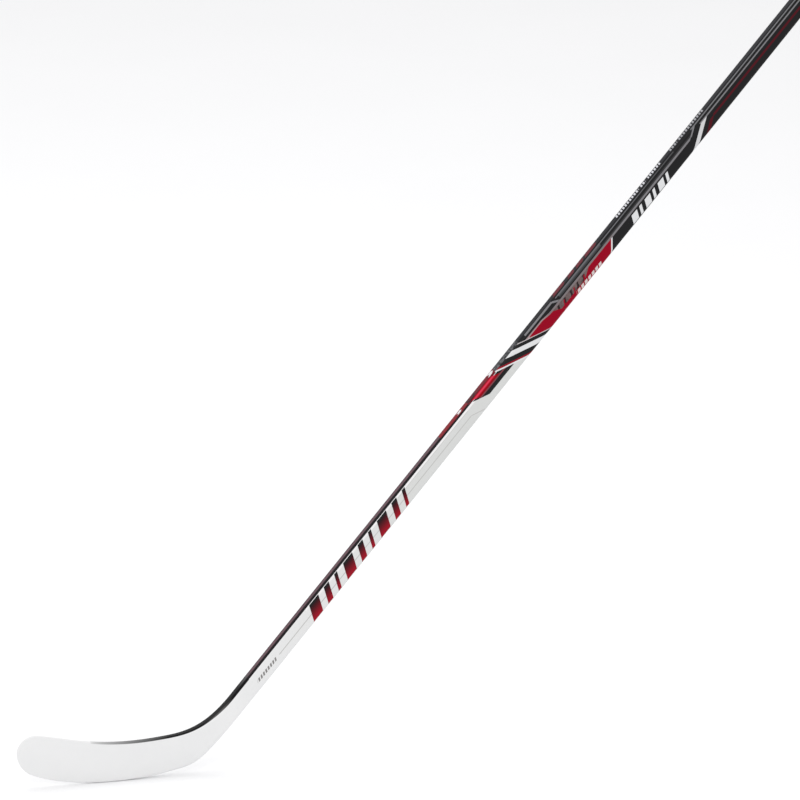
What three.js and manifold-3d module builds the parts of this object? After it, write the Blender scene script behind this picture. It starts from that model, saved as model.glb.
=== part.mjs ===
// Composite ice hockey stick, senior size, left-hand curve, standing in its playing pose.
// Units are millimetres and +Z is up. The blade's sole touches the ice, Z = 0, at the origin.
// X runs along the blade from the toe (-X) to the heel and on towards the butt end (+X).
// Y runs across the stick: the forehand face looks to +Y and the backhand face to -Y.
import * as THREE from "three";
import { mergeVertices } from "three/addons/utils/BufferGeometryUtils.js";
import Module from "manifold-3d";

const wasm = await Module();
wasm.setup();

// ---- Driving dimensions ----

const LIE = THREE.MathUtils.degToRad(48.4);   // angle of the shaft to the ice
const LENGTH = 1524;                          // heel to butt end, along the rear edge: 60 inches
const HEEL_X = 119.6;                         // where the shaft's rear edge line meets the ice

const SHAFT_W = 29;                           // across the narrow sides
const SHAFT_T = 19;                           // across the wide faces
const SHAFT_R = 5.5;                          // corner radius
const SHAFT_WALL = 1.8;
const JOINT = 165;                            // shaft to hosel joint, along the rear edge
const GAP = 0.3;                              // clearance between neighbouring pieces

const TENON_LENGTH = 60;
const GLUE_T = 0.5;                           // thickness of a glue film
const GLUE_LENGTH = 50;
const TENON_ROOT = 20;                        // how far the tenon runs on inside the neck
const CHANNEL_HALF = 4.6;                     // half thickness of the foam channel in the hosel
const HOSEL_WALL = 1.8;

const PLUG_FLANGE = 6;
const PLUG_SPIGOT = 42;
const PLUG_WALL = 2.2;

const TOE_THICKNESS = 5.2;
const TOE_R = 2.0;                            // edge radius at the toe
const TAPER_FROM = 100;                       // where the thickness starts to fall, from the tenon's end
const TAPER_TO = 436;                         // and where it reaches the toe's
const SKIN = 1.2;                             // face laminate
const WRAP_DEPTH = 6;                         // edge wrap, measured in from the outline
const RIB_FROM = [0.31, 0.655];               // lower edge of each rib, as a share of the core's height
const RIB_SHARE = 0.035;
const CORE_GAP_SHARE = 0.0065;                // the clearance, as a share of the core's height
const CORE_END = 3.97;                        // the cores stop short of the toe

const CURVE_DEPTH = 20;                       // how far the toe stands off the shaft's plane
const CURVE_START = 20;
const CURVE_POWER = 1.9;
const OPEN_FACE = THREE.MathUtils.degToRad(4); // loft of the face at the toe
const LOFT_PIVOT_Z = 35;
const TOE_X = -150.6;

const ALONG = new THREE.Vector2(Math.cos(LIE), Math.sin(LIE));
const ACROSS = new THREE.Vector2(-Math.sin(LIE), Math.cos(LIE));

// ---- The outline, in the XZ plane ----

const point = (x, z) => new THREE.Vector2(x, z);
const rearEdge = (s) => point(HEEL_X, 0).addScaledVector(ALONG, s);
const frontEdge = (s) => rearEdge(s).addScaledVector(ACROSS, SHAFT_W);
const line = (from, to) => new THREE.LineCurve(from, to);
const bend = (...points) => new THREE.CubicBezierCurve(...points);

function path(...curves) {
  const joined = new THREE.CurvePath();
  for (const curve of curves) joined.add(curve);
  return joined;
}

// The shaft's own frame: z runs up its axis from the heel and x points to the rear edge.
const FOOT = rearEdge(0).addScaledVector(ACROSS, SHAFT_W / 2);
const shaftAxis = new THREE.Group();
shaftAxis.rotation.y = Math.PI / 2 - LIE;
shaftAxis.position.set(FOOT.x, 0, FOOT.y);
shaftAxis.updateMatrix();

const TENON_TOP = JOINT + TENON_LENGTH;
const HEEL_BEND = 124;                        // where the rear edge leaves its straight line
const THROAT_BEND = 129;                      // and where the front edge does
const HEEL_END = point(76.5, 5.5);
const HEEL_SLOPE = point(1, 0.2);
const THROAT_END = point(64.5, 61.6);
const SOLE_FLAT = 14;                         // half length of the flat on the sole
const TOE_LOW = point(-130.5, 18.9);
const TOE_TIP = point(TOE_X, 53);
const TOE_HIGH = point(-121, 81.2);

// Each side is four stretches: beside the tenon, the neck, the bend at the heel, and the blade.
const SOLE = [
  path(line(rearEdge(TENON_TOP), rearEdge(JOINT))),
  path(line(rearEdge(JOINT), rearEdge(HEEL_BEND))),
  path(bend(
    rearEdge(HEEL_BEND), rearEdge(HEEL_BEND - 118),
    HEEL_END.clone().addScaledVector(HEEL_SLOPE, 47), HEEL_END,
  )),
  path(
    bend(HEEL_END, HEEL_END.clone().addScaledVector(HEEL_SLOPE, -17), point(20, 0), point(SOLE_FLAT, 0)),
    line(point(SOLE_FLAT, 0), point(-SOLE_FLAT, 0)),
    bend(point(-SOLE_FLAT, 0), point(-53, 0), point(-98.7, 4.7), TOE_LOW),
  ),
];
const TOP = [
  path(line(frontEdge(TENON_TOP), frontEdge(JOINT))),
  path(line(frontEdge(JOINT), frontEdge(THROAT_BEND))),
  path(bend(frontEdge(THROAT_BEND), frontEdge(THROAT_BEND - 68), point(104.5, 64), THROAT_END)),
  path(bend(THROAT_END, point(-29, 56.1), point(-82, 76.8), TOE_HIGH)),
];
const TOE = path(
  bend(TOE_LOW, point(-141, 23.6), point(TOE_X, 38), TOE_TIP),
  bend(TOE_TIP, point(TOE_X, 70), point(-135, 82.8), TOE_HIGH),
);
const NECK = 1;                               // station numbers: tenon 0, neck 1, bend 2, blade 3, toe 4
const BEND = 2;
const BLADE = 3;
const TOE_END = 4;
const BEND_SEAM = 0.0012;                     // half the clearance, as a share of each stretch
const BLADE_SEAM = 0.0008;
const PULL = 4;                               // how sharply the stations bow out towards the toe

// ---- Where a point of the stick lies ----

// The step along `towards` that goes 1 mm in from the edge of an outline.
function inward(curve, share, towards) {
  const sine = Math.abs(curve.getTangent(share).cross(towards));
  return towards.clone().divideScalar(sine);
}

function station(u) {
  const part = Math.min(Math.floor(u), BLADE);
  const share = u - part;
  const low = SOLE[part].getPoint(share);
  const high = TOP[part].getPoint(share);
  const up = high.clone().sub(low).normalize();
  const stepUp = inward(SOLE[part], share, up);
  const stepDown = inward(TOP[part], share, up.clone().negate());
  return { low, high, stepUp, stepDown };
}

const fromSole = (u, depth) => {
  const at = station(u);
  return at.low.addScaledVector(at.stepUp, depth);
};
const fromTop = (u, depth) => {
  const at = station(u);
  return at.high.addScaledVector(at.stepDown, depth);
};

const TOE_CENTRE = TOE_LOW.clone().add(TOE_HIGH).multiplyScalar(0.5);
function fromToe(q, depth) {
  const edge = TOE.getPoint(q);
  const towards = TOE_CENTRE.clone().sub(edge).normalize();
  return edge.addScaledVector(inward(TOE, q, towards), depth);
}

// A point of the inner field, `depth` in from the edges: v is 0 at the sole's side and 1 at the top.
function field(u, v, depth) {
  const flat = fromSole(u, depth).lerp(fromTop(u, depth), v);
  if (u <= BLADE) return flat;
  const straight = fromSole(TOE_END, depth).lerp(fromTop(TOE_END, depth), v);
  const round = fromToe(v, depth).sub(straight);
  return flat.addScaledVector(round, (u - BLADE) ** PULL);
}

// Distance along the sole's side from the tenon's end.
const STRETCHES = SOLE.map((side) => side.getLength());
function travelled(u) {
  const part = Math.min(Math.floor(u), BLADE);
  const before = STRETCHES.slice(0, part).reduce((sum, length) => sum + length, 0);
  return before + (u - part) * STRETCHES[part];
}

const taper = (u) => THREE.MathUtils.smoothstep(travelled(u), TAPER_FROM, TAPER_TO);
const halfThickness = (u) => THREE.MathUtils.lerp(SHAFT_T, TOE_THICKNESS, taper(u)) / 2;
const edgeRadius = (u) => THREE.MathUtils.lerp(SHAFT_R, TOE_R, taper(u));

// Half thickness a given depth in from the edge, with the edge rounded off.
function roundedHalf(u, depth) {
  const r = edgeRadius(u);
  const short = Math.max(r - depth, 0);
  return halfThickness(u) - r + Math.sqrt(r * r - short * short);
}

// The blade's middle surface: its curve towards the forehand and the loft of its face.
function middle(x, z) {
  const curve = CURVE_DEPTH * (Math.max(CURVE_START - x, 0) / (CURVE_START - TOE_X)) ** CURVE_POWER;
  const loft = OPEN_FACE * THREE.MathUtils.clamp(x / TOE_X, 0, 1);
  return curve - (z - LOFT_PIVOT_Z) * Math.tan(loft);
}

// ---- Solids ----

const steps = (from, to, count) =>
  Array.from({ length: count + 1 }, (_, i) => THREE.MathUtils.lerp(from, to, i / count));

// A block with one column of cells for each pair of stations and one row for each pair of levels.
// place(a, b) gives the point in the XZ plane, and faces(a, b) the block's two Y limits there,
// measured from the middle surface.
function block(columns, rows, place, faces) {
  const shape = new THREE.BoxGeometry(1, 1, 1, columns.length - 1, 1, rows.length - 1);
  const position = shape.getAttribute("position");
  for (let i = 0; i < position.count; i++) {
    const a = columns[Math.round((0.5 - position.getX(i)) * (columns.length - 1))];
    const b = rows[Math.round((position.getZ(i) + 0.5) * (rows.length - 1))];
    const at = place(a, b);
    const limits = faces(a, b);
    const y = middle(at.x, at.y) + (position.getY(i) > 0 ? limits[1] : limits[0]);
    position.setXYZ(i, at.x, y, at.y);
  }
  return welded(shape);
}

function welded(shape) {
  shape.deleteAttribute("normal");
  shape.deleteAttribute("uv");
  return mergeVertices(shape, 1e-4);
}

function solid(shape) {
  const triVerts = new Uint32Array(shape.getIndex().array);
  const vertProperties = new Float32Array(shape.getAttribute("position").array);
  return new wasm.Manifold(new wasm.Mesh({ numProp: 3, vertProperties, triVerts }));
}

function shapeOf(body) {
  const mesh = body.getMesh();
  const shape = new THREE.BufferGeometry();
  shape.setAttribute("position", new THREE.BufferAttribute(new Float32Array(mesh.vertProperties), 3));
  shape.setIndex(Array.from(mesh.triVerts));
  return shape;
}

// A rounded rectangle: x across the narrow sides, y across the wide faces.
function roundedRect(width, thickness, radius, target = new THREE.Shape()) {
  const x = width / 2 - radius;
  const y = thickness / 2 - radius;
  target.moveTo(x + radius, -y);
  target.absarc(x, y, radius, 0, Math.PI / 2);
  target.absarc(-x, y, radius, Math.PI / 2, Math.PI);
  target.absarc(-x, -y, radius, Math.PI, 1.5 * Math.PI);
  target.absarc(x, -y, radius, 1.5 * Math.PI, 2 * Math.PI);
  return target;
}

const CORNER_STEPS = 6;
// A straight bar, or a sleeve if it has a bore, between two places along the shaft.
function bar(outer, from, to, bore) {
  const section = roundedRect(...outer);
  if (bore) section.holes.push(roundedRect(...bore, new THREE.Path()));
  const shape = new THREE.ExtrudeGeometry(section, {
    depth: to - from, bevelEnabled: false, curveSegments: CORNER_STEPS,
  });
  return welded(shape.translate(0, 0, from));
}

// The rounded rectangle that leaves `margin` all round inside another.
const inset = ([width, thickness, radius], margin) =>
  [width - 2 * margin, thickness - 2 * margin, Math.max(radius - margin, 0.6)];

// ---- Shaft, butt plug and glue films, along the shaft's own axis ----

const SHAFT = [SHAFT_W, SHAFT_T, SHAFT_R];
const SHAFT_BORE = inset(SHAFT, SHAFT_WALL);
const FILM_OUT = inset(SHAFT_BORE, GAP);
const FILM_IN = inset(FILM_OUT, GLUE_T);
const SPIGOT = inset(FILM_IN, GAP);
const PLUG_FROM = LENGTH - PLUG_FLANGE;

function shaftTube() {
  return bar(SHAFT, JOINT + GAP / 2, PLUG_FROM - GAP, SHAFT_BORE);
}

function glueFilm(from) {
  return bar(FILM_OUT, from, from + GLUE_LENGTH, FILM_IN);
}

// A moulded cup: a flush flange on a hollow spigot that opens into the shaft.
function buttPlug() {
  const bevel = 1;
  const flange = new THREE.ExtrudeGeometry(roundedRect(...inset(SHAFT, bevel)), {
    depth: PLUG_FLANGE - 2 * bevel,
    bevelThickness: bevel, bevelSize: bevel, bevelSegments: 2, curveSegments: CORNER_STEPS,
  });
  const cap = solid(welded(flange.translate(0, 0, PLUG_FROM + bevel)));
  const spigot = solid(bar(SPIGOT, PLUG_FROM - PLUG_SPIGOT, PLUG_FROM + bevel));
  const pocket = solid(bar(inset(SPIGOT, PLUG_WALL), PLUG_FROM - PLUG_SPIGOT - 1, PLUG_FROM - 2));
  return shapeOf(cap.add(spigot).subtract(pocket));
}

// ---- Hosel and its foam ----

const NECK_STEPS = 3;
const BEND_STEPS = 10;
const HOSEL_END = BLADE - BEND_SEAM;
const neckStations = (from) => [
  ...steps(from, NECK, NECK_STEPS), ...steps(NECK, BEND, NECK_STEPS).slice(1),
  ...steps(BEND, HOSEL_END, BEND_STEPS).slice(1),
];

// Depths that step round the edge's curve and end at the edge of the inner field.
const EDGE_ANGLES = steps(0, Math.PI / 2, CORNER_STEPS - 1);
const edgeDepths = (u) => [...EDGE_ANGLES.map((turn) => edgeRadius(u) * (1 - Math.cos(turn))), WRAP_DEPTH];
const LAST_DEPTH = EDGE_ANGLES.length;
const LAST_ROW = 2 * LAST_DEPTH + 1;

// Rows run up the section: the sole's edge, the inner field, then the top edge.
const sectionPoint = (u, row) =>
  (row <= LAST_DEPTH ? fromSole(u, edgeDepths(u)[row]) : fromTop(u, edgeDepths(u)[LAST_ROW - row]));

const bothSides = (half) => [-half, half];
const sectionFaces = (u, row) =>
  bothSides(roundedHalf(u, edgeDepths(u)[Math.min(row, LAST_ROW - row)]));

// The foam channel's half thickness, which follows the outside as the neck thins.
const channelHalf = (u) => Math.min(CHANNEL_HALF, halfThickness(u) - HOSEL_WALL);

function hoselBody() {
  const from = NECK + GAP / 2 / STRETCHES[NECK];
  const stations = [from, ...neckStations(0).filter((u) => u > NECK)];
  const outside = solid(block(stations, steps(0, LAST_ROW, LAST_ROW), sectionPoint, sectionFaces));
  const tenon = solid(bar(SPIGOT, JOINT - TENON_ROOT, TENON_TOP).applyMatrix4(shaftAxis.matrix));
  const beyond = 0.01;
  const channel = solid(block(
    [...neckStations(0), BLADE + beyond], [0, 1],
    (u, v) => field(u, v, WRAP_DEPTH).addScaledVector(ALONG, u === 0 ? 1 : 0),
    (u) => bothSides(channelHalf(u)),
  ));
  return shapeOf(outside.add(tenon).subtract(channel));
}

function hoselFoam() {
  const place = (u, v) => field(u, v, WRAP_DEPTH + GAP);
  return block(neckStations(0.01), [0, 1], place, (u) => bothSides(channelHalf(u) - GAP));
}

// ---- Blade ----

const BLADE_FROM = BLADE + BLADE_SEAM;
const TO_FLAT = SOLE[BLADE].curves[0].getLength();
const FLAT_FROM = BLADE + TO_FLAT / STRETCHES[BLADE];
const FLAT_TO = BLADE + (TO_FLAT + 2 * SOLE_FLAT) / STRETCHES[BLADE];
// Stations down the blade, two of them on the ends of the sole's flat.
const bladeStations = (to) => [
  ...steps(BLADE_FROM, FLAT_FROM, 5), ...steps(FLAT_FROM, FLAT_TO, 2).slice(1),
  ...steps(FLAT_TO, to, 10).slice(1),
];

const FIELD_ROWS = steps(0, 1, 8);
function faceLaminate(side) {
  return block(bladeStations(TOE_END), FIELD_ROWS, (u, v) => field(u, v, WRAP_DEPTH + GAP), (u) => {
    const out = halfThickness(u);
    return side > 0 ? [out - SKIN, out] : [-out, SKIN - out];
  });
}

const WRAP_ROWS = steps(0, LAST_DEPTH, LAST_DEPTH);

function soleWrap() {
  const place = (u, row) => fromSole(u, edgeDepths(u)[row]);
  return block(bladeStations(TOE_END), WRAP_ROWS, place, sectionFaces);
}

function topWrap() {
  const place = (u, row) => fromTop(u, edgeDepths(u)[LAST_DEPTH - row]);
  const faces = (u, row) => sectionFaces(u, LAST_DEPTH - row);
  return block(bladeStations(TOE_END), WRAP_ROWS, place, faces);
}

const TOE_STEPS = 12;
function toeWrap() {
  const end = GAP / TOE.getLength();
  const place = (q, row) => fromToe(q, edgeDepths(TOE_END)[row]);
  const faces = (q, row) => sectionFaces(TOE_END, row);
  return block(steps(end, 1 - end, TOE_STEPS), WRAP_ROWS, place, faces);
}

// A strip of the core, or a rib, between two shares of the inner field's height.
function coreStrip(from, to) {
  const place = (u, v) => field(u, v, WRAP_DEPTH + GAP);
  return block(bladeStations(CORE_END), [from, to], place, (u) => bothSides(halfThickness(u) - SKIN - GAP));
}

// ---- Assembly ----

const finish = (color, roughness, metalness = 0) =>
  new THREE.MeshStandardMaterial({ color, roughness, metalness });
const shaftLacquer = finish(0x1b1c1f, 0.32);
const bladeLacquer = finish(0xe9e9ea, 0.38);
const edgeLacquer = finish(0xe2e2e4, 0.38);
const capPlastic = finish(0x141416, 0.55);
const resin = finish(0xc7a24a, 0.4);
const foam = finish(0xd9d3c2, 0.95);
const carbon = finish(0x232427, 0.5);

const stick = new THREE.Group();
stick.add(shaftAxis);

function part(parent, name, shape, material) {
  const mesh = new THREE.Mesh(shape, material);
  mesh.name = name;
  parent.add(mesh);
}

part(shaftAxis, "shaft_tube", shaftTube(), shaftLacquer);
part(shaftAxis, "butt_plug", buttPlug(), capPlastic);
part(shaftAxis, "plug_glue_film", glueFilm(PLUG_FROM - PLUG_SPIGOT - 12), resin);
part(shaftAxis, "tenon_glue_film", glueFilm(JOINT + 4), resin);

part(stick, "hosel", hoselBody(), bladeLacquer);
part(stick, "hosel_foam_core", hoselFoam(), foam);
part(stick, "face_laminate_backhand", faceLaminate(-1), bladeLacquer);
part(stick, "face_laminate_forehand", faceLaminate(1), bladeLacquer);
part(stick, "edge_wrap_top", topWrap(), edgeLacquer);
part(stick, "edge_wrap_sole", soleWrap(), edgeLacquer);
part(stick, "edge_wrap_toe", toeWrap(), edgeLacquer);

let coreFrom = 0;
for (const [i, name] of ["lower", "middle", "upper"].entries()) {
  const ribFrom = RIB_FROM[i] ?? 1 + CORE_GAP_SHARE;
  part(stick, `foam_core_${name}`, coreStrip(coreFrom, ribFrom - CORE_GAP_SHARE), foam);
  if (i < RIB_FROM.length) {
    part(stick, `rib_${i === 0 ? "lower" : "upper"}`, coreStrip(ribFrom, ribFrom + RIB_SHARE), carbon);
  }
  coreFrom = ribFrom + RIB_SHARE + CORE_GAP_SHARE;
}

export default stick;
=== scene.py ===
"""Looks for the ice hockey stick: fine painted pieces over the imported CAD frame, a floor, light and camera.

Shapes and paint are worked out in millimetres. Meshes, the floor, the lights and the camera are in metres, in
the row frame: +Z is up, the toe points to -X, the backhand face looks to -Y and the forehand face to +Y.
"""
import bisect
import math

import bmesh
import bpy
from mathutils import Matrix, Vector


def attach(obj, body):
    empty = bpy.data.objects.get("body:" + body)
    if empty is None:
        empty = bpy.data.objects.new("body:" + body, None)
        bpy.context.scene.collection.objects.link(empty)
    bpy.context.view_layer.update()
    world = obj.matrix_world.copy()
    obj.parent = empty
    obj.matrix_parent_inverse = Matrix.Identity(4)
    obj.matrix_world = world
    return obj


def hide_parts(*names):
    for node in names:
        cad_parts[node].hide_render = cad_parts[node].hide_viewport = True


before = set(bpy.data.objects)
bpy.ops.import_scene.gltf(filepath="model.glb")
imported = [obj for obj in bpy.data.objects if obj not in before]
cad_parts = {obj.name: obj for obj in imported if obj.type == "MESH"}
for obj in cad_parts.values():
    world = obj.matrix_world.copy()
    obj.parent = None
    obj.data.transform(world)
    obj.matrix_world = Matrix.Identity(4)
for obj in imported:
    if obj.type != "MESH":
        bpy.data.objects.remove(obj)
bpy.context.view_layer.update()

scene = bpy.context.scene

# ---- Driving dimensions, as in the CAD model ----

LIE = math.radians(48.4)
LENGTH = 1524
HEEL_X = 119.6
SHAFT_W = 29
SHAFT_T = 19
SHAFT_R = 5.5
SHAFT_WALL = 1.8
JOINT = 165
TENON_LENGTH = 60
SPIGOT_MARGIN = 2.9                # from the shaft's outside to the tenon's and the plug's
CHANNEL_HALF = 4.6
HOSEL_WALL = 1.8
PLUG_FLANGE = 6
PLUG_SPIGOT = 42
PLUG_WALL = 2.2
TOE_THICKNESS = 5.2
TOE_R = 2.0
TAPER_FROM = 100
TAPER_TO = 436
SKIN = 1.2
WRAP_DEPTH = 6
CURVE_DEPTH = 20
CURVE_START = 20
CURVE_POWER = 1.9
OPEN_FACE = math.radians(4)
LOFT_PIVOT_Z = 35
TOE_X = -150.6
HEEL_BEND = 124                    # up the shaft, where its rear edge starts to turn into the heel
HEEL_HANDLE = 118
THROAT_BEND = 129                  # and where its front edge starts to turn into the blade's top
THROAT_HANDLE = 68

ALONG = Vector((math.cos(LIE), math.sin(LIE)))
ACROSS = Vector((-math.sin(LIE), math.cos(LIE)))


# ---- The outline, in the XZ plane ----

def at(x, z):
    return Vector((x, z))


def rear_edge(s):
    return at(HEEL_X, 0) + ALONG * s


def front_edge(s):
    return rear_edge(s) + ACROSS * SHAFT_W


def on_curve(points, t):
    """Place and direction on a line of two points or a Bezier curve of four."""
    while len(points) > 2:
        points = [a.lerp(b, t) for a, b in zip(points, points[1:])]
    return points[0].lerp(points[1], t), (points[1] - points[0]).normalized()


class Outline:
    """Curves joined end to end. at(share) gives place and direction at a share of the whole length."""

    FINE = 160

    def __init__(self, *curves):
        self.curves = curves
        self.lengths = [0.0]
        for curve in curves:
            places = [on_curve(curve, i / self.FINE)[0] for i in range(self.FINE + 1)]
            for a, b in zip(places, places[1:]):
                self.lengths.append(self.lengths[-1] + (b - a).length)
        self.length = self.lengths[-1]

    def at(self, share):
        wanted = share * self.length
        i = bisect.bisect_right(self.lengths, wanted) - 1
        i = min(max(i, 0), len(self.lengths) - 2)
        step = (wanted - self.lengths[i]) / (self.lengths[i + 1] - self.lengths[i])
        curve = self.curves[i // self.FINE]
        return on_curve(curve, (i % self.FINE + step) / self.FINE)


TENON_TOP = JOINT + TENON_LENGTH
HEEL_END = at(76.5, 5.5)
HEEL_SLOPE = at(1, 0.2)
THROAT_END = at(64.5, 61.6)
TOE_LOW = at(-130.5, 18.9)
TOE_TIP = at(TOE_X, 53)
TOE_HIGH = at(-121, 81.2)

# Each side is four stretches: beside the tenon, the neck, the bend at the heel, and the blade.
SOLE = [
    Outline([rear_edge(TENON_TOP), rear_edge(JOINT)]),
    Outline([rear_edge(JOINT), rear_edge(HEEL_BEND)]),
    Outline([
        rear_edge(HEEL_BEND), rear_edge(HEEL_BEND - HEEL_HANDLE), HEEL_END + HEEL_SLOPE * 47, HEEL_END,
    ]),
    Outline(
        [HEEL_END, HEEL_END - HEEL_SLOPE * 17, at(20, 0), at(14, 0)],
        [at(14, 0), at(-14, 0)],
        [at(-14, 0), at(-53, 0), at(-98.7, 4.7), TOE_LOW],
    ),
]
TOP = [
    Outline([front_edge(TENON_TOP), front_edge(JOINT)]),
    Outline([front_edge(JOINT), front_edge(THROAT_BEND)]),
    Outline([
        front_edge(THROAT_BEND), front_edge(THROAT_BEND - THROAT_HANDLE), at(104.5, 64), THROAT_END,
    ]),
    Outline([THROAT_END, at(-29, 56.1), at(-82, 76.8), TOE_HIGH]),
]
TOE = Outline(
    [TOE_LOW, at(-141, 23.6), at(TOE_X, 38), TOE_TIP],
    [TOE_TIP, at(TOE_X, 70), at(-135, 82.8), TOE_HIGH],
)
TOE_CENTRE = (TOE_LOW + TOE_HIGH) / 2
NECK, BEND, BLADE, TOE_END = 1, 2, 3, 4     # station numbers; the tenon starts at 0
PULL = 4                                    # the higher, the closer to the toe the rows take on its curve


# ---- Where a point of the stick lies ----

def clamp(x, low, high):
    return min(max(x, low), high)


def mix(a, b, share):
    return a + (b - a) * share


def steps(start, end, count):
    return [mix(start, end, i / count) for i in range(count + 1)]


def inward(direction, towards):
    """The step along `towards` that goes 1 mm in from an edge that runs in `direction`."""
    return towards / abs(direction.cross(towards))


def station(u):
    part = min(int(u), BLADE)
    low, low_run = SOLE[part].at(u - part)
    high, high_run = TOP[part].at(u - part)
    rise = (high - low).normalized()
    return low, high, inward(low_run, rise), inward(high_run, -rise)


def from_sole(u, depth):
    low, _, step_up, _ = station(u)
    return low + step_up * depth


def from_top(u, depth):
    _, high, _, step_down = station(u)
    return high + step_down * depth


def from_toe(q, depth):
    edge, run = TOE.at(q)
    return edge + inward(run, (TOE_CENTRE - edge).normalized()) * depth


def field(u, v, depth):
    """A point of the inner field, `depth` in from the edges: v is 0 at the sole's side and 1 at the top."""
    flat = from_sole(u, depth).lerp(from_top(u, depth), v)
    if u <= BLADE:
        return flat
    straight = from_sole(TOE_END, depth).lerp(from_top(TOE_END, depth), v)
    return flat + (from_toe(v, depth) - straight) * (u - BLADE) ** PULL


def travelled(sides, u):
    """Distance from the tenon's end down one side of the outline."""
    part = min(int(u), BLADE)
    return sum(side.length for side in sides[:part]) + (u - part) * sides[part].length


def taper(u):
    share = clamp((travelled(SOLE, u) - TAPER_FROM) / (TAPER_TO - TAPER_FROM), 0, 1)
    return share * share * (3 - 2 * share)


def half_thickness(u):
    return mix(SHAFT_T, TOE_THICKNESS, taper(u)) / 2


def edge_radius(u):
    return mix(SHAFT_R, TOE_R, taper(u))


def middle(place):
    """The blade's middle surface: its curve towards the forehand and the loft of its face."""
    curve = CURVE_DEPTH * (max(CURVE_START - place.x, 0) / (CURVE_START - TOE_X)) ** CURVE_POWER
    lean = OPEN_FACE * clamp(place.x / TOE_X, 0, 1)
    return curve - (place.y - LOFT_PIVOT_Z) * math.tan(lean)


def along_stick(u):
    """Distance up the stick's front, which on the shaft is the distance from the heel."""
    return TENON_TOP - travelled(TOP, u)


def on_shaft(s, across, y):
    """A point in the row frame, from the shaft's axis: `across` points to the front edge."""
    place = rear_edge(s) + ACROSS * (SHAFT_W / 2 + across)
    return Vector((place.x, y, place.y))


# ---- Meshes ----

PAINT_MAP = "along_and_round"     # how far up the stick, and how far round from the front, in metres
SHARP_ANGLE = math.radians(38)


def finished(name, vertices, faces, corners):
    """A smooth closed mesh in metres. corners holds one pair of map coordinates for each face corner."""
    mesh = bpy.data.meshes.new(name)
    mesh.from_pydata([v / 1000 for v in vertices], [], faces)
    layer = mesh.uv_layers.new(name=PAINT_MAP)
    for loop, (along, round_) in zip(layer.data, corners):
        loop.uv = (along / 1000, round_ / 1000)
    shape = bmesh.new()
    shape.from_mesh(mesh)
    bmesh.ops.recalc_face_normals(shape, faces=shape.faces)
    shape.to_mesh(mesh)
    shape.free()
    for face in mesh.polygons:
        face.use_smooth = True
    mesh.set_sharp_from_angle(angle=SHARP_ANGLE)
    piece = bpy.data.objects.new(name, mesh)
    scene.collection.objects.link(piece)
    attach(piece, "root")
    return piece


def loft(name, rings, maps, closed=False):
    """Joins rings of points one after another. maps holds a ring's map coordinates, with the first point's
    again at its end. A closed loft joins its last ring to its first, and an open one has its ends closed by
    rungs between the ring's two sides, which can follow a curve."""
    around = len(rings[0])
    vertices = [point for ring in rings for point in ring]
    faces = []
    corners = []
    for i in range(len(rings) - (0 if closed else 1)):
        following = (i + 1) % len(rings)
        here = i * around
        there = following * around
        for j in range(around):
            after = (j + 1) % around
            faces.append((here + j, here + after, there + after, there + j))
            corners += [maps[i][j], maps[i][j + 1], maps[following][j + 1], maps[following][j]]
    if not closed:
        for i in (0, len(rings) - 1):
            for j in range((around - 1) // 2):
                # In an odd ring the last rung's two middle corners are one, so it is a triangle.
                rung = list(dict.fromkeys((j, j + 1, around - 2 - j, around - 1 - j)))
                faces.append([i * around + k for k in rung])
                corners += [maps[i][k] for k in rung]
    return finished(name, vertices, faces, corners)


QUARTER_TURN = math.pi / 2
CORNER_TURNS = steps(0, QUARTER_TURN, 10)


def rounded(width, thickness, radius):
    """Half of a rounded rectangle: (across, out, distance) from the front's middle to the rear's."""
    flat = thickness / 2 - radius
    side = width / 2 - radius
    arc = radius * QUARTER_TURN
    half = [(width / 2, 0, 0), (width / 2, flat / 2, flat / 2)]
    for turn in CORNER_TURNS:
        half.append((side + radius * math.cos(turn), flat + radius * math.sin(turn), flat + radius * turn))
    half += [(side * f, thickness / 2, flat + arc + side * (1 - f)) for f in (0.5, 0, -0.5)]
    total = 2 * (flat + arc + side)
    return half + [(-a, y, total - d) for a, y, d in reversed(half[:-3])]


def both_sides(half):
    """A whole ring from the near half's list: from the rear, up the near side, and down the far side."""
    near = [(a, -y, -d) for a, y, d in reversed(half)]
    far = [(a, y, d) for a, y, d in half[1:]]
    return near + far


def shaft_ring(s, section):
    """Points and map coordinates of a section at s. The section's last point is its first one again."""
    ring = both_sides(rounded(*section))
    points = [on_shaft(s, across, y) for across, y, _ in ring]
    return points[:-1], [(s, distance) for _, _, distance in ring]


SMALLEST_RADIUS = 0.6


def inset(section, margin):
    width, thickness, radius = section
    return width - 2 * margin, thickness - 2 * margin, max(radius - margin, SMALLEST_RADIUS)


SHAFT = (SHAFT_W, SHAFT_T, SHAFT_R)
BORE = inset(SHAFT, SHAFT_WALL)
SPIGOT = inset(SHAFT, SPIGOT_MARGIN)
PLUG_FROM = LENGTH - PLUG_FLANGE


def shaft_rings(stops):
    rings = [shaft_ring(s, section) for s, section in stops]
    return [points for points, _ in rings], [maps for _, maps in rings]


def make_shaft():
    chamfer = 0.25
    gap_to_plug = 0.3
    end = PLUG_FROM - gap_to_plug
    outside = [(s, SHAFT) for s in steps(JOINT, end - chamfer, 40)]
    tip = [(end, inset(SHAFT, chamfer)), (end, BORE)]
    return loft("shaft_tube_painted", *shaft_rings(outside + tip + [(JOINT, BORE)]), closed=True)


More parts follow.
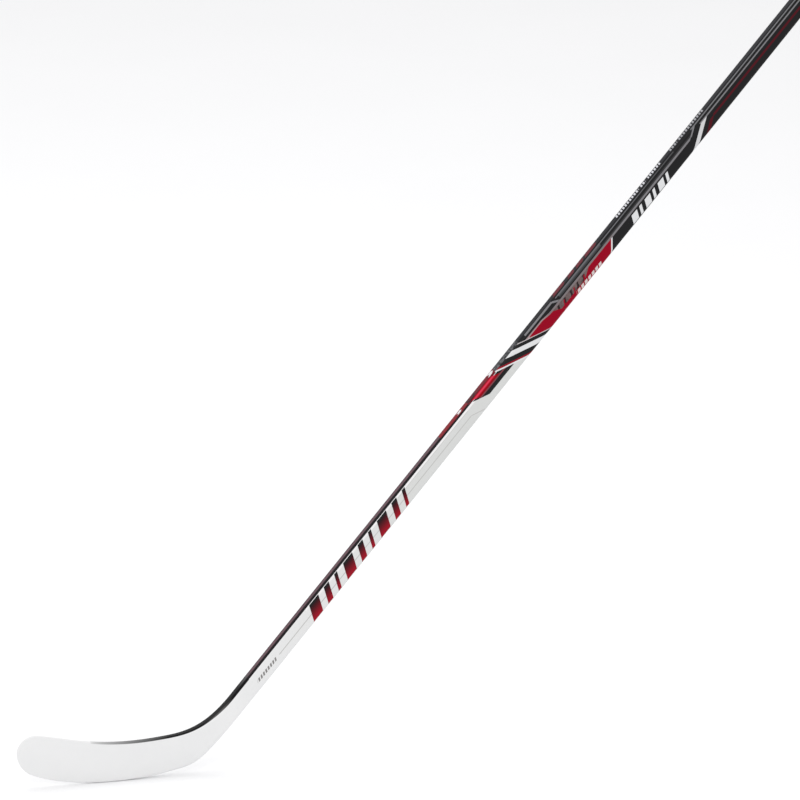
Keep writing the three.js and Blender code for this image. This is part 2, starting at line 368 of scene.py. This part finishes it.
def make_plug():
    bevel = 1.0
    lead_in = 0.6
    floor = 2                      # how far the pocket in the spigot stops short of the flange
    bevelled = []
    for turn in steps(0, QUARTER_TURN, 5):
        bevelled.append((bevel * (1 - math.cos(turn)), inset(SHAFT, bevel * (1 - math.sin(turn)))))
    crown = [(LENGTH - down, section) for down, section in bevelled]
    foot = [(PLUG_FROM + up, section) for up, section in reversed(bevelled)]
    tail = PLUG_FROM - PLUG_SPIGOT
    spigot = [(PLUG_FROM, SPIGOT), (tail + lead_in, SPIGOT), (tail, inset(SPIGOT, lead_in))]
    pocket = [(tail, inset(SPIGOT, PLUG_WALL)), (PLUG_FROM - floor, inset(SPIGOT, PLUG_WALL))]
    flat_end = [(LENGTH, inset(SHAFT, margin)) for margin in (7, 3)]
    return loft("butt_plug_moulded", *shaft_rings(flat_end + crown + foot + spigot + pocket))


def edge_rows(u):
    """One edge's section: (depth, half thickness, distance) from the edge's middle round to the face."""
    radius = edge_radius(u)
    half = half_thickness(u)
    flat = half - radius
    rows = [(0, 0, 0), (0, flat / 2, flat / 2)]
    for turn in CORNER_TURNS:
        rows.append((radius * (1 - math.cos(turn)), flat + radius * math.sin(turn), flat + radius * turn))
    round_to_face = flat + radius * QUARTER_TURN
    return rows + [(WRAP_DEPTH, half, round_to_face + WRAP_DEPTH - radius)]


def placed(place, out):
    return Vector((place.x, middle(place) + out, place.y))


def half_section(u):
    """(place, half thickness, distance) from the top edge's middle, down the face, to the sole's."""
    rows = edge_rows(u)
    top = [(from_top(u, depth), out, d) for depth, out, d in rows]
    low = [(from_sole(u, depth), out, d) for depth, out, d in rows]
    high_place, half, wrapped = top[-1]
    low_place = low[-1][0]
    reach = wrapped + (high_place - low_place).length
    across = [(high_place.lerp(low_place, f), half, mix(wrapped, reach, f)) for f in (1 / 3, 2 / 3)]
    return top + across + [(place, out, reach + wrapped - d) for place, out, d in reversed(low)]


def channel_ring(u, like):
    """The foam channel at a station, with a point for each one of the outer half section `like`."""
    half = min(CHANNEL_HALF, half_thickness(u) - HOSEL_WALL)
    low = field(u, 0, WRAP_DEPTH)
    high = field(u, 1, WRAP_DEPTH)
    edge = len(edge_rows(u)) - 1
    ring = []
    for i in range(len(like)):
        if i < edge:
            ring.append((high, half * i / edge))
        elif i < len(like) - edge:
            ring.append((high.lerp(low, (i - edge) / (len(like) - 1 - 2 * edge)), half))
        else:
            ring.append((low, half * (len(like) - 1 - i) / edge))
    return ring


def whole_ring(half):
    """Points from the sole's middle up the near side and down the far side, from (place, out, distance)."""
    near = [(place, -out, -d) for place, out, d in reversed(half)]
    ring = near + [(place, out, d) for place, out, d in half[1:]]
    return [placed(place, out) for place, out, _ in ring][:-1], [d for _, _, d in ring]


def make_hosel():
    rings = []
    maps = []
    stations = steps(BLADE, BEND, 48) + steps(BEND, NECK, 8)[1:]
    for u in stations:
        points, distances = whole_ring(half_section(u))
        rings.append(points)
        maps.append([(along_stick(u), d) for d in distances])
    count = len(half_section(NECK))
    tenon_half = spread(rounded(*SPIGOT), count)
    for s in (JOINT, TENON_TOP):
        ring = both_sides(tenon_half)
        rings.append([on_shaft(s, across, y) for across, y, _ in ring][:-1])
        maps.append([(s, d) for _, _, d in ring])
    # The foam channel, from the tenon's end back down the inside to the blade.
    for u in [0.0] + steps(NECK, BEND, 4) + steps(BEND, BLADE, 20)[1:]:
        half = [(place, out, 0) for place, out in channel_ring(u, half_section(u))]
        points, distances = whole_ring(half)
        rings.append(points)
        maps.append([(along_stick(u), d) for d in distances])
    return loft("hosel_painted", rings, maps, closed=True)


def spread(half, count):
    """The same outline with `count` points, for joining it to a section that has more."""
    extra = count - len(half)
    centre = len(half) // 2
    a, b = half[centre], half[centre + 1]
    added = [tuple(mix(p, q, (i + 1) / (extra + 1)) for p, q in zip(a, b)) for i in range(extra)]
    return half[:centre + 1] + added + half[centre + 1:]


TOE_START = 3.8                    # the stations are closer together from here
BLADE_STATIONS = steps(BLADE, TOE_START, 64) + steps(TOE_START, TOE_END, 28)[1:]
FACE_ROWS = steps(0, 1, 40)


def wrap_ring(rows, place_of):
    """A closed section of an edge wrap: round the edge from the near face to the far one."""
    near = [(place_of(depth), -out, -d) for depth, out, d in reversed(rows)]
    ring = near + [(place_of(depth), out, d) for depth, out, d in rows[1:]]
    return [placed(place, out) for place, out, _ in ring], [d for _, _, d in ring]


def make_edge(name, stations, rows_of, place_of, along_of, start):
    """An edge wrap. `start` is the distance round the section at the middle of the edge."""
    rings = []
    maps = []
    for u in stations:
        points, distances = wrap_ring(rows_of(u), lambda depth: place_of(u, depth))
        rings.append(points)
        signed = [math.copysign(start + abs(d), d) for d in distances]
        maps.append([(along_of(u), d) for d in signed + signed[:1]])
    return loft(name, rings, maps)


def make_face(name, side):
    """A face laminate, from its outer surface to its inner one."""
    rings = []
    maps = []
    for u in BLADE_STATIONS:
        half = half_thickness(u)
        places = [field(u, v, WRAP_DEPTH) for v in FACE_ROWS]
        outer = [placed(p, side * half) for p in places]
        inner = [placed(p, side * (half - SKIN)) for p in reversed(places)]
        rings.append(outer + inner)
        top = edge_rows(u)[-1][2]
        distances = [top + (places[-1] - p).length for p in places]
        rows = [(along_stick(u), side * d) for d in distances]
        maps.append(rows + rows[::-1] + rows[:1])
    return loft(name, rings, maps)


shaft = make_shaft()
plug = make_plug()
hosel = make_hosel()
backhand = make_face("backhand_face_painted", -1)
forehand = make_face("forehand_face_painted", 1)
top_edge = make_edge("top_edge_painted", BLADE_STATIONS, edge_rows, from_top, along_stick, 0)
SOLE_DISTANCE = 60                 # farther from the top's middle than any of its paint reaches
sole_edge = make_edge("sole_edge_painted", BLADE_STATIONS, edge_rows, from_sole, along_stick, SOLE_DISTANCE)
toe_edge = make_edge(
    "toe_edge_painted", FACE_ROWS, lambda q: edge_rows(TOE_END), from_toe,
    lambda q: along_stick(TOE_END) - TOE.length * (1 - q), SOLE_DISTANCE,
)

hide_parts("shaft_tube")
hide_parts("butt_plug")
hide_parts("hosel")
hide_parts("face_laminate_backhand")
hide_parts("face_laminate_forehand")
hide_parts("edge_wrap_top")
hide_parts("edge_wrap_sole")
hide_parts("edge_wrap_toe")


# ---- Node trees ----

class Number:
    """A number that a node computes. Arithmetic on it adds Math nodes."""

    def __init__(self, graph, socket):
        self.graph = graph
        self.socket = socket

    def __add__(self, other):
        return self.graph.math("ADD", self, other)

    def __sub__(self, other):
        return self.graph.math("SUBTRACT", self, other)

    def __mul__(self, other):
        return self.graph.math("MULTIPLY", self, other)

    def __or__(self, other):
        return self.graph.math("MAXIMUM", self, other)

    def plus(self, other, times):
        """self + other * times."""
        return self.graph.math("MULTIPLY_ADD", other, times, self)

    def over(self, edge):
        return self.graph.math("GREATER_THAN", self, edge)

    def under(self, edge):
        return self.graph.math("LESS_THAN", self, edge)

    def between(self, low, high):
        return self.graph.math("COMPARE", self, (low + high) / 2, (high - low) / 2)

    def within(self, *spans):
        """1 inside any of the spans, each a (low, high)."""
        inside = self.between(*spans[0])
        for span in spans[1:]:
            inside = inside | self.between(*span)
        return inside

    def ramp(self, low, high):
        """0 at low and 1 at high, and level outside; low may be the larger."""
        scale = 1 / (high - low)
        return self.graph.math("MULTIPLY_ADD", self, scale, -low * scale, clamp_result=True)

    def size(self):
        return self.graph.math("ABSOLUTE", self)

    def wrapped(self, period):
        return self.graph.math("FLOORED_MODULO", self, period)

    def power(self, exponent):
        return self.graph.math("POWER", self, exponent)


class Graph:
    """A material's node tree, filled in the order that the shader computes it."""

    def __init__(self, name, roughness=0.4, **constants):
        self.material = bpy.data.materials.new(name)
        self.material.use_nodes = True
        self.tree = self.material.node_tree
        self.shader = self.tree.nodes["Principled BSDF"]
        self.shader.inputs["Roughness"].default_value = roughness
        self.paint = None
        for socket, value in constants.items():
            self.shader.inputs[socket.replace("_", " ")].default_value = value

    def node(self, kind, **settings):
        node = self.tree.nodes.new("ShaderNode" + kind)
        for key, value in settings.items():
            setattr(node, key, value)
        return node

    def feed(self, value, socket):
        if isinstance(value, Number):
            value = value.socket
        if isinstance(value, bpy.types.NodeSocket):
            self.tree.links.new(value, socket)
        else:
            socket.default_value = value

    def math(self, operation, *values, clamp_result=False):
        node = self.node("Math", operation=operation, use_clamp=clamp_result)
        for value, socket in zip(values, node.inputs):
            self.feed(value, socket)
        return Number(self, node.outputs[0])

    def place(self):
        return self.node("TexCoord").outputs["Object"]

    def paint_map(self):
        """Millimetres up the stick, and round it from the middle of its front."""
        split = self.node("SeparateXYZ")
        self.feed(self.node("UVMap", uv_map=PAINT_MAP).outputs["UV"], split.inputs[0])
        along, round_, _ = split.outputs
        return Number(self, along) * 1000, Number(self, round_) * 1000

    def noise(self, place, scale, detail=2.0, rough=0.5):
        node = self.node("TexNoise")
        self.feed(place, node.inputs["Vector"])
        node.inputs["Scale"].default_value = scale
        node.inputs["Detail"].default_value = detail
        node.inputs["Roughness"].default_value = rough
        return Number(self, node.outputs["Fac"])

    def blend(self, under, over, share, mode="MIX"):
        node = self.node("Mix", data_type="RGBA", blend_type=mode)
        self.feed(share, node.inputs[0])
        self.feed(under, node.inputs[6])
        self.feed(over, node.inputs[7])
        return node.outputs[2]

    def bump(self, height, strength, distance):
        node = self.node("Bump")
        node.inputs["Strength"].default_value = strength
        node.inputs["Distance"].default_value = distance
        self.feed(height, node.inputs["Height"])
        self.tree.links.new(node.outputs["Normal"], self.shader.inputs["Normal"])

    def lay(self, colour, share=None):
        """Puts a colour over the paint so far, where share is 1."""
        if share is not None:
            colour = self.blend(self.paint, colour, share)
        self.paint = colour
        self.feed(colour, self.shader.inputs["Base Color"])

    def roughness(self, value):
        self.feed(value, self.shader.inputs["Roughness"])


def shade(red, green, blue):
    """A paint from its display values out of 255."""
    def linear(c):
        c /= 255
        return c / 12.92 if c <= 0.04045 else ((c + 0.055) / 1.055) ** 2.4
    return linear(red), linear(green), linear(blue), 1.0


# ---- Paints ----

WHITE = shade(220, 221, 222)
BLACK = shade(33, 33, 34)
# The black on the shaft's corners is a painted dark reflection.
CORNER_DARK_REFLECTION = shade(32, 28, 31)
CRIMSON = shade(146, 0, 30)
DARK_RED = shade(140, 22, 38)
MAROON = shade(100, 34, 44)
TAUPE = shade(112, 98, 97)
JOINT_GREY = shade(80, 78, 80)
GREY_LINE = shade(124, 123, 126)
PALE_LINE = shade(190, 184, 185)
FINE_LINE = shade(190, 190, 188)
GLOSS = 0.07
LACQUER_ROUGHNESS = 0.24

# Distances round the shaft's section, in millimetres.
HALF_SIDE = SHAFT_T / 2 - SHAFT_R                  # half of a narrow side's flat
HALF_FACE = SHAFT_W / 2 - SHAFT_R                  # half of a wide face's
FACE_MIDDLE = HALF_SIDE + SHAFT_R * QUARTER_TURN + HALF_FACE     # from the front's middle
REAR_NARROWER = 1.82                               # what half of the rear's dark band is short of the front's

# Where the shaft's fields of paint meet, in millimetres up the stick at the middle of a wide face.
RED_BARS = (302, 534)
WEDGE = (727.2, 786.2)
STRIPES = (786.2, 791.1, 796.8, 813.3, 829.4, 841.0)
WHITE_LINE = (1025.4, 1028.6)
WHITE_BARS = (1074.6, 1165)
PRINTED_LINES_END = 1213
SLASH = (1236.4, 1250.2)


def clear_coat(graph, place):
    """The lacquer over the paint: faint ripple and a roughness that drifts a little."""
    drift = graph.noise(place, scale=26, detail=3)
    graph.roughness(drift * 0.1 + LACQUER_ROUGHNESS)
    ripple = graph.noise(place, scale=520)
    graph.bump(ripple, strength=0.05, distance=0.0004)


def lay_white(graph, place, along):
    """White lacquer, a little cloudy, which greys up the shaft."""
    graph.lay(graph.blend(shade(230, 230, 230), shade(208, 209, 207), along.ramp(120, 640)))
    cloud = graph.noise(place, scale=14, detail=3)
    graph.lay(shade(222, 223, 224), cloud.ramp(0.35, 0.8) * 0.4)


def make_blade_paint():
    """White, with the shaft's dark front running on along the top edge, and fading out towards the toe."""
    graph = Graph("blade_paint", Specular_IOR_Level=GLOSS)
    place = graph.place()
    along, round_ = graph.paint_map()
    lay_white(graph, place, along)
    from_middle = round_.size()
    # The stripe is 5 mm wide on each side of the top's middle at the toe, and widens in three stretches.
    width = along.ramp(-110, -40) * 1.5 + along.ramp(-40, 90) * 1.8 + along.ramp(85, 115) * 1.3 + 5
    inside = (width - from_middle).ramp(-0.3, 0.3)
    worn = (along - 97).size().ramp(32, 8) * from_middle.ramp(4.4, 7.2)
    stripe = graph.blend(shade(17, 17, 18), shade(84, 83, 82), worn)
    stripe = graph.blend(stripe, JOINT_GREY, along.ramp(144, 164) * from_middle.ramp(4.4, 2.4))
    graph.lay(stripe, inside * along.ramp(-112, 12).power(0.43))
    clear_coat(graph, place)
    return graph.material


def make_shaft_paint():
    """The shaft's graphics, the same on both wide faces, in millimetres.

    `along` runs up the stick. `face` runs across a wide face from its middle towards the front: the flat
    ends at 9, and the corner at 17.6.
    """
    graph = Graph("shaft_paint", Specular_IOR_Level=GLOSS)
    place = graph.place()
    along, round_ = graph.paint_map()
    girth = round_.size()
    face = graph.math("SUBTRACT", FACE_MIDDLE, girth)
    swept = along.plus(face, 1.92)                    # level along the lines that lean back
    upright = along.plus(face, -0.62)                 # and along those that lean forward a little
    raked = along.plus(face, -2.02)                   # or a lot
    paint_white_half(graph, place, along, face, upright)
    paint_crimson_field(graph, place, along, face, swept, upright)
    paint_black_half(graph, along, face, upright, raked)
    paint_narrow_sides(graph, place, along, girth)
    paint_wedge(graph, face, swept)
    clear_coat(graph, place)
    return graph.material


def paint_white_half(graph, place, along, face, upright):
    """White lacquer with a painted highlight beside the front corner, fine grey lines, a row of short dashes
    and three groups of slanted bars.
    """
    lay_white(graph, place, along)
    # Painted highlight: a lighter strip on the face beside the front corner.
    graph.lay(shade(233, 232, 232), face.between(9.4, 12.6) * along.over(300))
    graph.lay(FINE_LINE, face.between(-1.5, 0.0) * along.between(223, 687))
    graph.lay(FINE_LINE, along.plus(face, 1.97).between(684, 687) * face.between(-11.5, -0.7))
    graph.lay(FINE_LINE, face.between(8.5, 9.2) * along.between(520, 690))
    # The bars turn from black at the front edge to red at the rear one.
    depth = face.ramp(8.4, -8.4).power(1.5)
    bars = graph.blend(shade(44, 22, 27), shade(150, 18, 36), depth)
    bars = graph.blend(bars, BLACK, face.over(8.3))
    turn = (upright - RED_BARS[0]).wrapped(81.6)
    slats = turn.under(22) | turn.between(35, 47) | turn.between(60, 67)
    graph.lay(bars, slats * upright.between(*RED_BARS) * face.between(-12.8, 11.7))
    dashes = upright.wrapped(5.6).under(3.4) * upright.between(171, 216) * face.between(-3.4, 1.6)
    graph.lay(shade(132, 130, 129), dashes)


def paint_crimson_field(graph, place, along, face, swept, upright):
    """Slanted stripes, then crimson with a patch of taupe shards and a row of short pale ticks."""
    for colour, start, end in zip((WHITE, DARK_RED, BLACK, WHITE, BLACK), STRIPES, STRIPES[1:]):
        graph.lay(colour, swept.between(start, end))
    start = STRIPES[-1]
    pale_width = 2.6                                  # and twice that beside the corner
    graph.lay(CRIMSON, swept.over(start))
    edge = swept.plus(face.over(5.4), -pale_width)
    graph.lay(PALE_LINE, swept.over(start) * edge.under(start + pale_width))
    patch = along.plus(face, 1.32).over(891.3) * along.plus(face, -2.1).under(968) * face.over(-6)
    speck = graph.noise(place, scale=90, detail=4, rough=0.7)
    graph.lay(graph.blend(TAUPE, shade(84, 68, 68), speck.ramp(0.42, 0.58)), patch)
    jitter = upright.plus(speck, 9)
    graph.lay(shade(46, 36, 37), patch * jitter.wrapped(15).under(4.6) * face.under(1.8))
    graph.lay(CRIMSON, patch * jitter.wrapped(24).between(2, 5) * face.under(0.5))
    ticks = upright.wrapped(8.4).under(5.9) * upright.between(938, 998) * face.between(-12.4, -7.2)
    graph.lay(shade(205, 196, 194), ticks)


def paint_black_half(graph, along, face, upright, raked):
    """Black above a slanted white line, with printed lines, a corner line that is partly painted highlight,
    two groups of white bars and a white slash.
    """
    end = along.plus(face, -1.09)
    black_from = WHITE_LINE[1]
    graph.lay(WHITE, end.between(*WHITE_LINE))
    graph.lay(BLACK, end.over(black_from))
    # Beside the crimson field the corner is black, with a pale edge that steps once towards the middle.
    beside = along.over(875) | along.plus(face, 1.92).over(843.6)
    lined = raked.under(PRINTED_LINES_END)
    step = along.ramp(866, 882)
    pale = graph.blend(shade(160, 138, 140), shade(124, 116, 118), step)
    graph.lay(pale, beside * face.plus(step, 3.4).over(6.2) * lined)
    graph.lay(GREY_LINE, end.over(black_from) * face.over(3.1) * lined)
    graph.lay(BLACK, beside * face.plus(step, 2.5).over(8.4))
    # Lines and bands on the corner. The pale line down the corner's middle is partly print and partly a
    # painted highlight.
    graph.lay(shade(58, 58, 59), along.over(1012) * face.between(5.9, 8.3) * lined)
    bands = (911, 1011)
    graph.lay(shade(84, 85, 88), along.between(*bands) * face.between(10.4, 13.8))
    graph.lay(shade(60, 61, 63), along.between(*bands) * face.between(8.2, 10.4))
    # Down the corner's middle beside the crimson field: a painted highlight as well as a printed line.
    graph.lay(GREY_LINE, along.between(832, 897) * face.between(12.0, 15.2))
    graph.lay(GREY_LINE, along.plus(face, 1.27).between(911.0, 916.0) * face.between(6.3, 13.5))
    graph.lay(GREY_LINE, raked.between(1210.8, 1216.2) * face.between(4.8, 12.6))
    graph.lay(GREY_LINE, along.over(1248) * face.between(6.5, 8.8))
    # The pale line down the corner's middle, partly print and partly painted highlight, dims up the shaft and
    # then turns brighter.
    corner_line_and_highlight = graph.blend(shade(106, 106, 110), shade(78, 78, 80), along.ramp(1050, 1160))
    graph.lay(corner_line_and_highlight, along.between(905, 1190) * face.between(12.1, 13.6))
    graph.lay(shade(114, 114, 117), along.over(1232) * face.between(12.4, 14.2))
    # The white bars and the slash, and the dark red line that rises to the face's middle after it.
    turn = (upright - WHITE_BARS[0]).wrapped(31.4)
    slats = turn.under(13) | turn.between(18.5, 24)
    graph.lay(WHITE, slats * upright.between(*WHITE_BARS) * face.between(-12.2, 0.3))
    graph.lay(shade(207, 207, 208), raked.between(*SLASH) * face.under(6.8))
    rise = along.plus(face, -1.8).between(1265.0, 1274.5) * face.under(-0.8)
    graph.lay(shade(80, 20, 29), rise | (face.between(-2.4, 1.1) * along.over(1272)))


def paint_narrow_sides(graph, place, along, girth):
    """The narrow sides, and the corners that turn into them, which are dark up the whole shaft; the corners'
    black is a painted dark reflection.
    """
    from_rear = graph.math("SUBTRACT", 2 * FACE_MIDDLE + REAR_NARROWER, girth)
    from_middle = graph.math("MINIMUM", girth, from_rear)
    slant = along + from_middle
    speck = graph.noise(place, scale=260, detail=3, rough=0.7)
    # Mauve between corners painted black as a dark reflection, grey at the joint, and crimson at its upper
    # end with a small white patch.
    side = graph.blend(shade(106, 76, 84), shade(90, 70, 76), speck.ramp(0.4, 0.6))
    side = graph.blend(side, CORNER_DARK_REFLECTION, from_middle.ramp(3.0, 4.2))
    side = graph.blend(side, JOINT_GREY, along.ramp(178, 164) * from_middle.ramp(4.4, 2.4))
    side = graph.blend(side, shade(128, 30, 40), along.between(631, 697) * from_middle.under(5.6))
    side = graph.blend(side, WHITE, slant.between(677, 685) * from_middle.under(3.0))
    # Then speckled maroon and mottled grey, with a white band before the grey.
    side = graph.blend(side, graph.blend(MAROON, BLACK, speck.ramp(0.45, 0.55)), along.over(697))
    side = graph.blend(side, shade(128, 30, 42), along.ramp(715, 727) * 0.6)
    mottle = graph.blend(shade(104, 104, 107), shade(44, 46, 48), speck.ramp(0.4, 0.55))
    side = graph.blend(side, mottle, along.between(762, 818))
    side = graph.blend(side, WHITE, slant.between(752, 761) * from_middle.under(4.4))
    # Then black, with maroon blocks and two rows of pale ticks, of which the upper is fainter.
    side = graph.blend(side, shade(34, 34, 38), along.over(818))
    blocks = slant.within((908, 934), (944, 958), (964, 980), (985, 1010))
    side = graph.blend(side, MAROON, blocks * from_middle.under(5))
    side = graph.blend(side, shade(38, 38, 42), along.over(1272) * from_middle.under(4.2))
    rows = along.within((1057, 1113), (1117, 1129), (1135, 1164))
    rows = rows | along.within((1188, 1205), (1209, 1268)) * 0.55
    ticks = rows * along.wrapped(5.4).under(3.2) * from_middle.under(3.6)
    side = graph.blend(side, shade(205, 205, 210), ticks)
    reach = along.under(761) * 1.9 + along.under(820) * 1.4 + 5.8
    graph.lay(side, (reach - from_middle).over(0))


def paint_wedge(graph, face, swept):
    """The red and black wedge where the white half ends. Its red laps over the corner, paler down the
    corner's middle as a painted highlight.
    """
    wedge = swept.between(*WEDGE)
    graph.lay(BLACK, wedge * face.between(-1.7, 12))
    graph.lay(shade(124, 66, 72), wedge * face.between(4.9, 7.0))
    # Painted highlight: paler red down the corner's middle.
    corner_highlight = (face - 12.3).size().ramp(2.4, 0.4)
    red = graph.blend(shade(150, 0, 20), shade(214, 54, 80), corner_highlight)
    graph.lay(red, swept.between(732.5, 779) * face.between(7.3, 15.3))


def make_plug_plastic():
    graph = Graph("moulded_plastic", Specular_IOR_Level=0.4)
    place = graph.place()
    cloud = graph.noise(place, scale=60, detail=3)
    graph.lay(graph.blend(shade(24, 24, 26), shade(34, 34, 36), cloud))
    grain = graph.noise(place, scale=1400, detail=3)
    graph.roughness(grain * 0.2 + 0.45)
    graph.bump(grain, strength=0.3, distance=0.0003)
    return graph.material


def make_foam():
    graph = Graph("rigid_foam", Specular_IOR_Level=0.2)
    place = graph.place()
    cells = graph.node("TexVoronoi")
    graph.feed(place, cells.inputs["Vector"])
    cells.inputs["Scale"].default_value = 900
    size = Number(graph, cells.outputs["Distance"])
    graph.lay(graph.blend(shade(196, 188, 168), shade(226, 219, 202), size))
    graph.roughness(size * 0.1 + 0.85)
    graph.bump(size, strength=0.6, distance=0.0005)
    return graph.material


def make_carbon():
    graph = Graph("carbon_weave", Specular_IOR_Level=0.5)
    place = graph.place()
    split = graph.node("SeparateXYZ")
    graph.feed(place, split.inputs[0])
    x, _, z = [Number(graph, socket) * 1000 for socket in split.outputs]
    tow_width = 4
    warp = (x + z).wrapped(tow_width).ramp(0, tow_width)
    weft = (x - z).wrapped(tow_width).ramp(0, tow_width)
    tow = (warp - 0.5).size() + (weft - 0.5).size()
    graph.lay(graph.blend(shade(24, 25, 27), shade(58, 59, 62), tow))
    graph.roughness(tow * 0.2 + 0.35)
    graph.bump(tow, strength=0.4, distance=0.0003)
    return graph.material


def make_resin():
    graph = Graph("hot_melt_resin", Specular_IOR_Level=0.5)
    place = graph.place()
    cloud = graph.noise(place, scale=90, detail=3)
    graph.lay(graph.blend(shade(176, 138, 58), shade(206, 172, 92), cloud))
    graph.roughness(cloud * 0.2 + 0.3)
    graph.bump(cloud, strength=0.3, distance=0.0004)
    return graph.material


def dress(piece, material):
    piece.data.materials.append(material)


shaft_paint = make_shaft_paint()
blade_paint = make_blade_paint()
dress(shaft, shaft_paint)
dress(plug, make_plug_plastic())
for piece in (hosel, backhand, forehand, top_edge, sole_edge, toe_edge):
    dress(piece, blade_paint)

hidden_materials = {"foam": make_foam(), "rib": make_carbon(), "glue": make_resin()}
for name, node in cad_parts.items():
    for word, material in hidden_materials.items():
        if word in name:
            for slot in node.material_slots:
                slot.material = material


# ---- Floor, light and camera ----

FLOOR_SIZE = 60
FLOOR_Z = -0.0005


def make_floor():
    bpy.ops.mesh.primitive_plane_add(size=FLOOR_SIZE, location=(0, 0, FLOOR_Z))
    floor = bpy.context.object
    floor.name = "floor"
    graph = Graph("floor_paper", roughness=0.9, Specular_IOR_Level=0.1)
    drift = graph.noise(graph.place(), scale=3)
    graph.lay(graph.blend(shade(247, 247, 248), shade(249, 249, 250), drift))
    floor.data.materials.append(graph.material)


def add_light(name, place, target, size, power):
    light = bpy.data.lights.new(name, "AREA")
    light.shape = "RECTANGLE"
    light.size, light.size_y = size
    light.energy = power
    lamp = bpy.data.objects.new(name, light)
    lamp.location = place
    lamp.rotation_euler = (Vector(target) - Vector(place)).to_track_quat("-Z", "Y").to_euler()
    scene.collection.objects.link(lamp)


make_floor()
TARGET = (0.45, 0.0, 0.5)
add_light("key", (-1.6, -3.2, 3.4), TARGET, (2.6, 2.6), 42)
add_light("top", (0.2, 1.6, 4.4), (0.2, 0.8, 0.0), (4.2, 4.2), 60)

world = bpy.data.worlds.new("studio")
world.use_nodes = True
sky = world.node_tree.nodes["Background"]
sky.inputs["Color"].default_value = shade(255, 255, 255)
sky.inputs["Strength"].default_value = 0.85
scene.world = world
scene.view_settings.view_transform = "Standard"

# The view: the shaft's wide face is turned 25 degrees, about the shaft, away from facing the camera.
TURN = math.radians(25)
PICTURE_WIDTH = 1.208
PICTURE_RIGHT = 0.4289             # from the origin to the picture's middle
PICTURE_UP = 0.5754
LENS = 400
SENSOR = 36
back = Vector((-math.sin(LIE) * math.sin(TURN), -math.cos(TURN), math.cos(LIE) * math.sin(TURN)))
right = Vector((-back.y, back.x, 0)).normalized()
up = back.cross(right)
centre = right * PICTURE_RIGHT + up * PICTURE_UP
centre -= back * (centre.y / back.y)
camera_data = bpy.data.cameras.new("camera")
camera_data.lens = LENS
camera_data.sensor_width = SENSOR
camera_data.clip_end = 100
camera = bpy.data.objects.new("camera", camera_data)
camera.location = centre + back * (PICTURE_WIDTH * LENS / SENSOR)
camera.rotation_euler = (-back).to_track_quat("-Z", "Y").to_euler()
scene.collection.objects.link(camera)
scene.camera = camera
